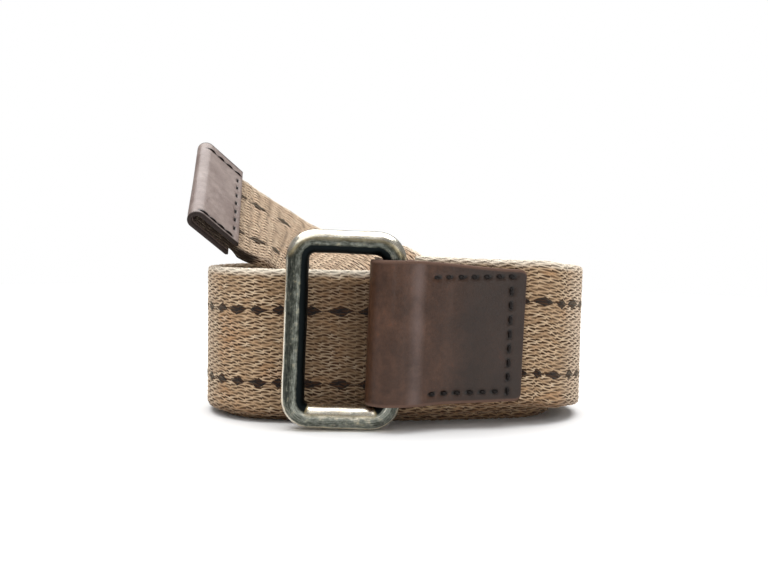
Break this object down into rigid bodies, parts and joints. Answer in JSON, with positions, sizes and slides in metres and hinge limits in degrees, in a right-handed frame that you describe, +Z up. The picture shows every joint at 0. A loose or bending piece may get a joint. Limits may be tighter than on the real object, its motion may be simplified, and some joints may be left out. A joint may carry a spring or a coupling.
{
  "type": "webbing belt",
  "caption": "Rolled tan webbing belt with a metal ring in a stitched leather chape and a leather-capped free end.",
  "frame": {"origin": "middle of the base of the rolled belt", "axes": "+X along the roll towards its right end as seen from the front, +Y from the front to the back, +Z up"},
  "size_m": [0.1112, 0.0632, 0.075],
  "materials": {
    "webbing": "coarse tan cotton weave with dark brown woven dashes",
    "leather": "dark brown waxed leather, satin",
    "ring_metal": "antiqued pewter over brass, worn bright on the edges"
  },
  "bodies": {
    "belt": {"webbing_strap": "webbing", "leather_chape": "leather", "leather_tip": "leather"},
    "ring": {"ring": "ring_metal"}
  },
  "joints": [
    {"name": "ring_swing", "type": "hinge", "parent": "belt", "child": "ring", "pos_m": [0.00236, -0.02591, 0.0247], "axis": [0.026, 0.0026, 0.9997], "range_deg": [0, 115]}
  ]
}
